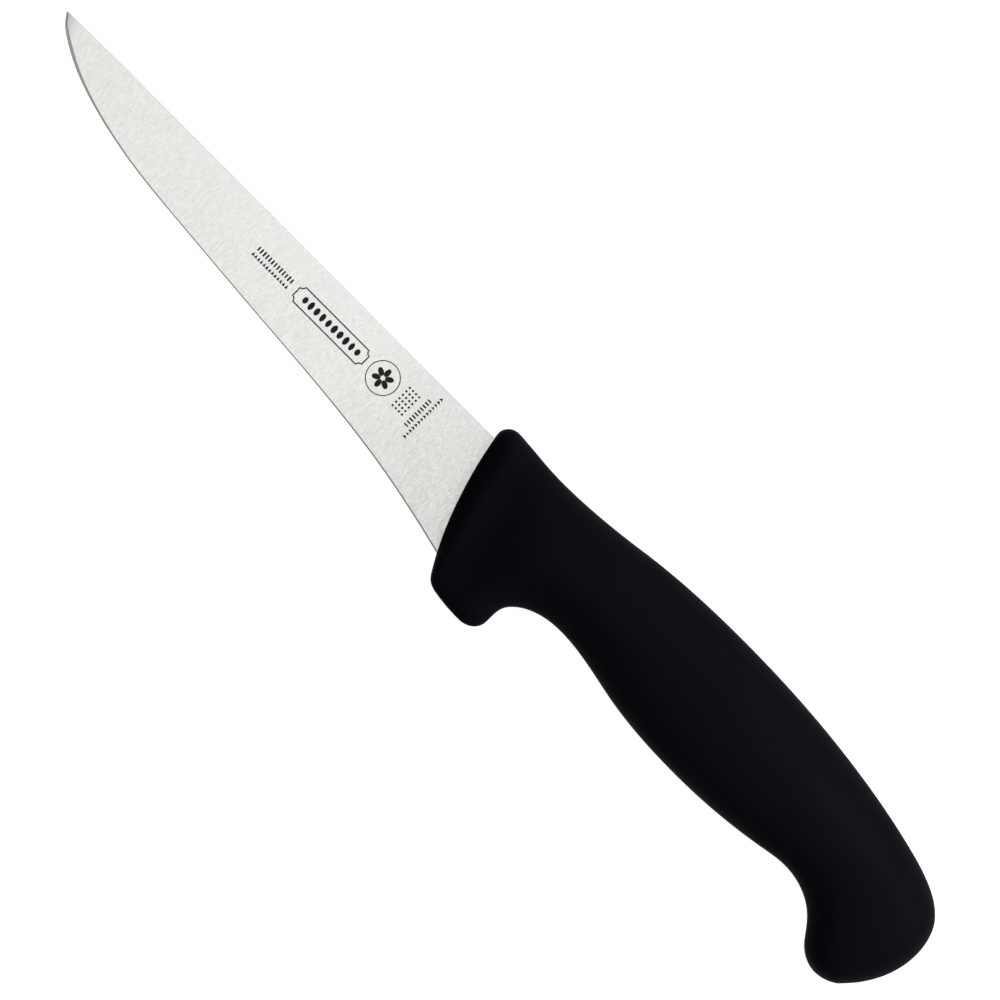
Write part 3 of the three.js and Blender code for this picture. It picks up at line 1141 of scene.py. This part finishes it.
def scooped_loop(centre, width, height, radius):
    """An anticlockwise rectangle, given in mm, with scooped corners and extra points on its sides."""
    corners = ((1, -1, -90), (1, 1, 0), (-1, 1, 90), (-1, -1, 180))
    loop = []
    for sx, sy, first in corners:
        corner = np.array([centre[0] + sx * width / 2, centre[1] + sy * height / 2]) * MM
        for turn in np.linspace(0, 90, SCOOP_STEPS):
            loop.append(corner + radius * MM * heading(first + 270 - turn))
    dense = []
    for a, b in zip(loop, loop[1:] + loop[:1]):
        pieces = max(1, round(float(np.linalg.norm(b - a)) / LONGEST_STEP))
        dense += [a + (b - a) * i / pieces for i in range(pieces)]
    return dense


def circle_loop(u, radius):
    """An anticlockwise circle on the centre line, given in mm."""
    turns = np.linspace(0, 360, RING_STEPS, endpoint=False)
    return [(np.array([u, 0.0]) + radius * heading(a)) * MM for a in turns]


class KNIFE_OT_marks(Operator):
    """Make the etched marks on the blade's left side: rows of strokes, a plaque and a ring"""

    bl_idname = "knife.marks"
    bl_label = "Etched marks"

    def execute(self, context):
        settings = context.scene.knife_marks
        marks = FlatMarks(context.scene.knife_blade, settings, etched_oxide(settings))
        for seed, row in enumerate(ROWS):
            marks.row(**row, smallest=ROW_UNEVEN, seed=seed)
        marks.band(scooped_loop(**PLAQUE), settings.line)
        marks.band(circle_loop(-RING_AT, RING_RADIUS), RING_LINE * settings.line)
        marks.row(at=(RING_AT, 0.0), **ROSETTE)
        for column in range(BLOCK_COLUMNS):
            marks.row(at=(BLOCK_AT[0] - BLOCK_PITCH * column, BLOCK_AT[1]), **BLOCK_DOTS)
        finished(marks.laid("etched_marks"))
        return {"FINISHED"}


# ---- Stage ----

VIEW_CENTRE = Vector((-3.76 * MM, -4.13 * MM, MID_Z))
FLOOR_GREY = 0.25
FLOOR_GLOW = 0.95  # the floor is a light table
STUDIO_DIM = 0.2

# Soft boxes: name, place, what each faces, its size in metres, and its radiance.
SOFTBOXES = (
    ("overhead", (0.1, 0, 0.9), (0.1, 0, 0), (0.7, 0.5), 1.08),
    ("key", (-0.44, -0.37, 0.56), (0, 0, 0), (0.3, 0.3), 37.0),
    ("tip_card", (0.48, 0.38, 0.74), (0.12, 0, 0), (0.35, 0.35), 0.22),
)


def softbox(name, place, target, size, radiance):
    """A rectangular area light that faces a target."""
    light = bpy.data.lights.new(name, "AREA")
    light.shape = "RECTANGLE"
    light.size, light.size_y = size
    light.energy = radiance * math.pi * size[0] * size[1]
    lamp = bpy.data.objects.new(name, light)
    lamp.location = place
    lamp.rotation_euler = (Vector(target) - Vector(place)).to_track_quat("-Z", "Y").to_euler()
    bpy.context.scene.collection.objects.link(lamp)


class KNIFE_OT_stage(Operator):
    """Lay the floor, hang the studio lights and set the camera over the knife"""

    bl_idname = "knife.stage"
    bl_label = "Stage"

    def execute(self, context):
        scene = context.scene
        settings = scene.knife_stage

        half = settings.floor_size / 2
        corners = [(-half, -half, 0), (half, -half, 0), (half, half, 0), (-half, half, 0)]
        n = Nodes("lit_table")
        n.shade(
            Base_Color=(FLOOR_GREY, FLOOR_GREY, FLOOR_GREY, 1),
            Roughness=0.9,
            Specular_IOR_Level=0.0,
            Emission_Color=(1, 1, 1, 1),
            Emission_Strength=FLOOR_GLOW,
        )
        floor = object_from("floor", corners, [(0, 1, 2, 3)], (n.material,))

        world = bpy.data.worlds.new("studio")
        world.use_nodes = True
        background = world.node_tree.nodes["Background"]
        background.inputs["Color"].default_value = (1, 1, 1, 1)
        background.inputs["Strength"].default_value = STUDIO_DIM
        scene.world = world

        for box in SOFTBOXES:
            softbox(*box)

        camera = bpy.data.cameras.new("camera")
        camera.lens = settings.lens
        distance = settings.view_width * settings.lens / camera.sensor_width
        camera.clip_end = 50
        holder = bpy.data.objects.new("camera", camera)
        place = Matrix.Translation(VIEW_CENTRE + Vector((0, 0, distance)))
        holder.matrix_world = place @ Matrix.Rotation(settings.roll, 4, "Z")
        scene.collection.objects.link(holder)
        scene.camera = holder
        scene.view_settings.view_transform = "Standard"
        return {"FINISHED"}


# ---- Add-on ----


class KNIFE_PT_parts(Panel):
    """Lists what makes the knife and its stage"""

    bl_label = "Knife"
    bl_idname = "KNIFE_PT_parts"
    bl_space_type = "VIEW_3D"
    bl_region_type = "UI"
    bl_category = "Knife"

    def draw(self, context):
        for operator in OPERATORS:
            self.layout.operator(operator.bl_idname)


SETTINGS = {
    "knife_blade": BladeSettings,
    "knife_handle": HandleSettings,
    "knife_marks": MarkSettings,
    "knife_stage": StageSettings,
}
OPERATORS = (KNIFE_OT_blade, KNIFE_OT_handle, KNIFE_OT_marks, KNIFE_OT_stage)


def register():
    for cls in (*SETTINGS.values(), *OPERATORS, KNIFE_PT_parts):
        bpy.utils.register_class(cls)
    for name, cls in SETTINGS.items():
        setattr(bpy.types.Scene, name, PointerProperty(type=cls))


def unregister():
    for name in SETTINGS:
        delattr(bpy.types.Scene, name)
    for cls in reversed((*SETTINGS.values(), *OPERATORS, KNIFE_PT_parts)):
        bpy.utils.unregister_class(cls)


def main():
    register()
    bpy.ops.knife.blade()
    bpy.ops.knife.handle()
    bpy.ops.knife.marks()
    bpy.ops.knife.stage()


if __name__ == "__main__":
    main()
